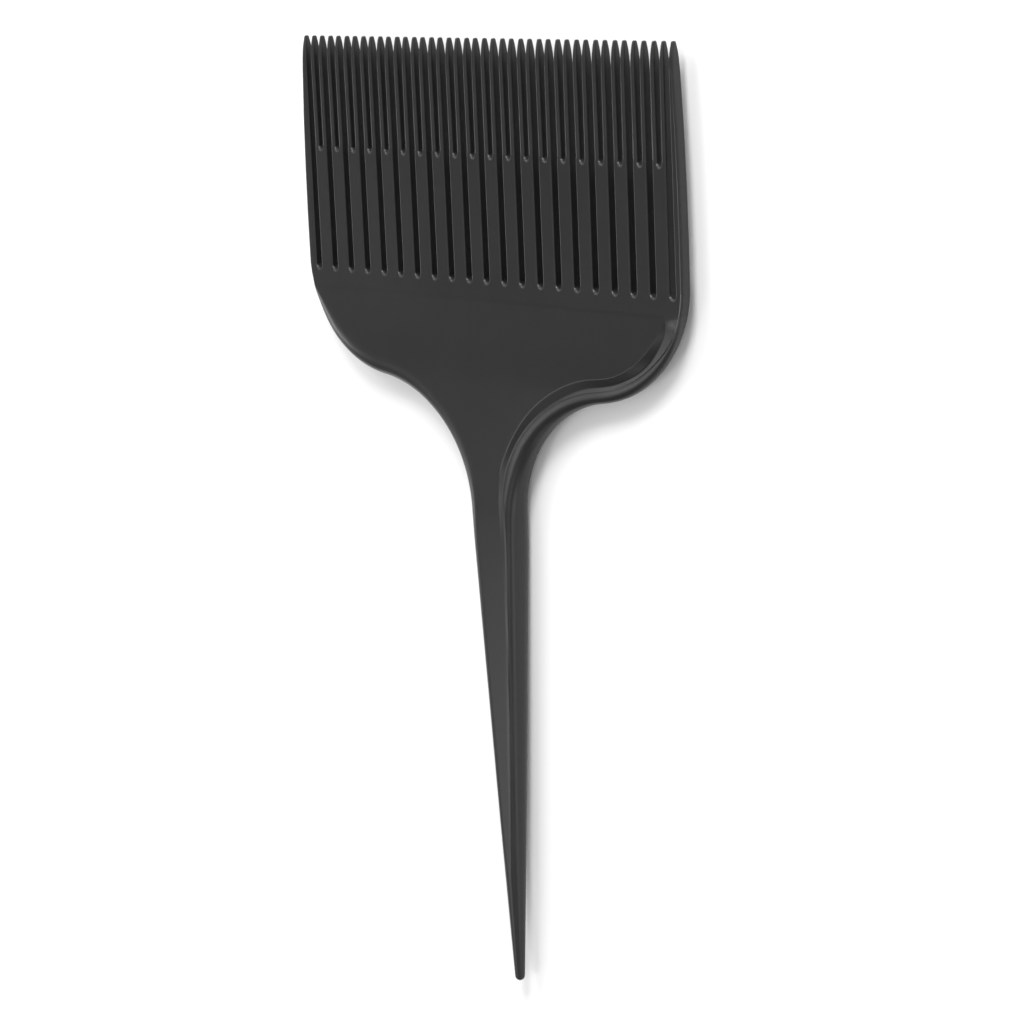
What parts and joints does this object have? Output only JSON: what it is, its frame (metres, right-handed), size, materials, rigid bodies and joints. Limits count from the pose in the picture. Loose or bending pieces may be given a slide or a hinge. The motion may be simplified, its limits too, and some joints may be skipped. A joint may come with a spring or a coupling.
{
  "type": "weaving and tinting tail comb",
  "caption": "Wide flat weaving and tinting comb in black plastic: wide tines that fork into fine ones, raised pads on the head and a tapering tail handle.",
  "frame": {"origin": "middle of the underside: half way along the comb, on its centre line, in the plane of its rear flat", "axes": "+Y along the comb from the tail's end to the tooth tips, +Z out of the front face, +X to the right as the front is seen"},
  "size_m": [0.1142, 0.225, 0.0076],
  "materials": {
    "comb_plastic": "satin black moulded plastic with a very fine grain"
  },
  "bodies": {
    "root": {"tail_point": "comb_plastic", "handle": "comb_plastic", "neck": "comb_plastic", "shoulder": "comb_plastic", "root_plate": "comb_plastic", "front_pad": "comb_plastic", "rear_pad": "comb_plastic", "guard_tooth_left": "comb_plastic", "guard_tooth_right": "comb_plastic", "wide_tine_01": "comb_plastic", "wide_tine_02": "comb_plastic", "wide_tine_03": "comb_plastic", "wide_tine_04": "comb_plastic", "wide_tine_05": "comb_plastic", "wide_tine_06": "comb_plastic", "wide_tine_07": "comb_plastic", "wide_tine_08": "comb_plastic", "wide_tine_09": "comb_plastic", "wide_tine_10": "comb_plastic", "wide_tine_11": "comb_plastic", "wide_tine_12": "comb_plastic", "wide_tine_13": "comb_plastic", "wide_tine_14": "comb_plastic", "wide_tine_15": "comb_plastic", "wide_tine_16": "comb_plastic", "wide_tine_17": "comb_plastic", "wide_tine_18": "comb_plastic", "wide_tine_19": "comb_plastic", "wide_tine_20": "comb_plastic", "fork_pair_01": "comb_plastic", "fork_pair_02": "comb_plastic", "fork_pair_03": "comb_plastic", "fork_pair_04": "comb_plastic", "fork_pair_05": "comb_plastic", "fork_pair_06": "comb_plastic", "fork_pair_07": "comb_plastic", "fork_pair_08": "comb_plastic", "fork_pair_09": "comb_plastic", "fork_pair_10": "comb_plastic", "fork_pair_11": "comb_plastic", "fork_pair_12": "comb_plastic", "fork_pair_13": "comb_plastic", "fork_pair_14": "comb_plastic", "fork_pair_15": "comb_plastic", "fork_pair_16": "comb_plastic", "fork_pair_17": "comb_plastic", "fork_pair_18": "comb_plastic", "fork_pair_19": "comb_plastic", "fork_pair_20": "comb_plastic"}
  },
  "joints": []
}
